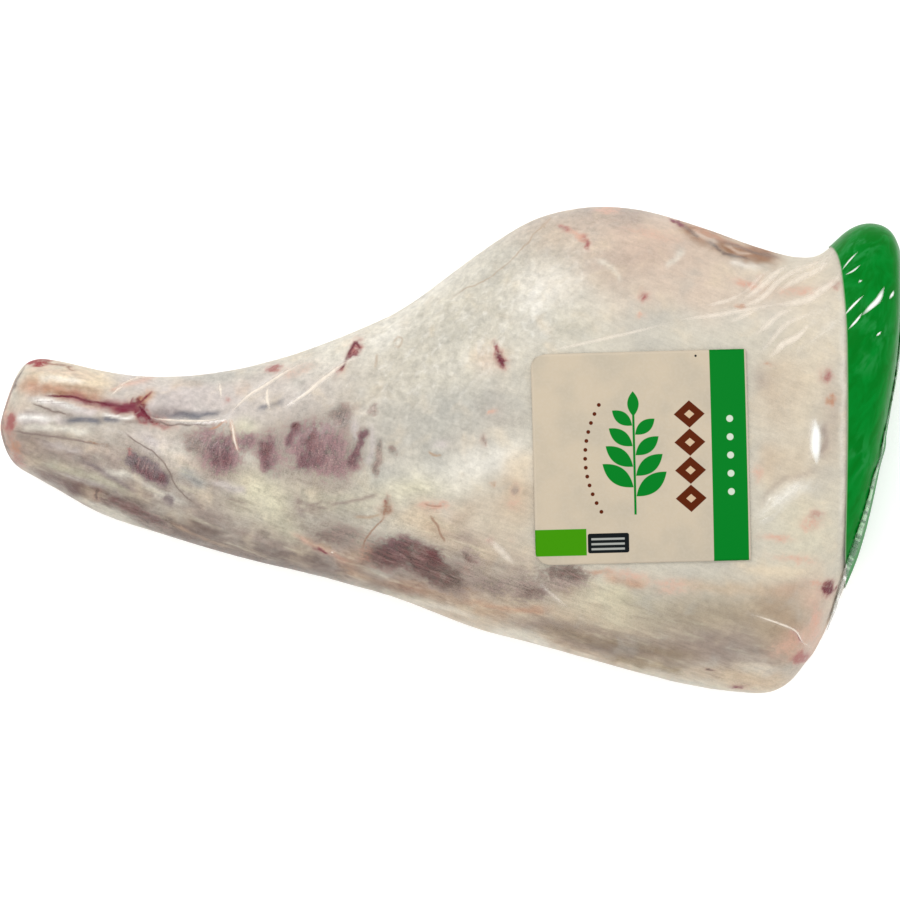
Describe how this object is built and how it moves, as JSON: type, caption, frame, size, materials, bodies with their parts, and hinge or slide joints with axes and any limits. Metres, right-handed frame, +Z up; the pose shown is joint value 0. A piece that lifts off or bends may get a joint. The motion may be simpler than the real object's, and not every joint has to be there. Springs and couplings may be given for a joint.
{
  "type": "vacuum-packed leg of lamb",
  "caption": "Raw bone-in leg of lamb in a tight clear shrink bag with a printed green end and a cream label, lying on its inner side.",
  "frame": {"origin": "on the table, under the middle of the pack's bounding box", "axes": "+X from the hock end to the hip end, +Y towards the hamstring edge, +Z up, with the outer side of the leg and the label facing up"},
  "size_m": [0.401, 0.2178, 0.0799],
  "materials": {
    "meat_in_film": "raw fat and muscle under clear, tight, glossy film",
    "label": "satin cream film label with green print",
    "green_print": "glossy green ink on the bag's hip end"
  },
  "bodies": {
    "root": {"packed_leg": "meat_in_film", "label": "label"}
  },
  "joints": []
}
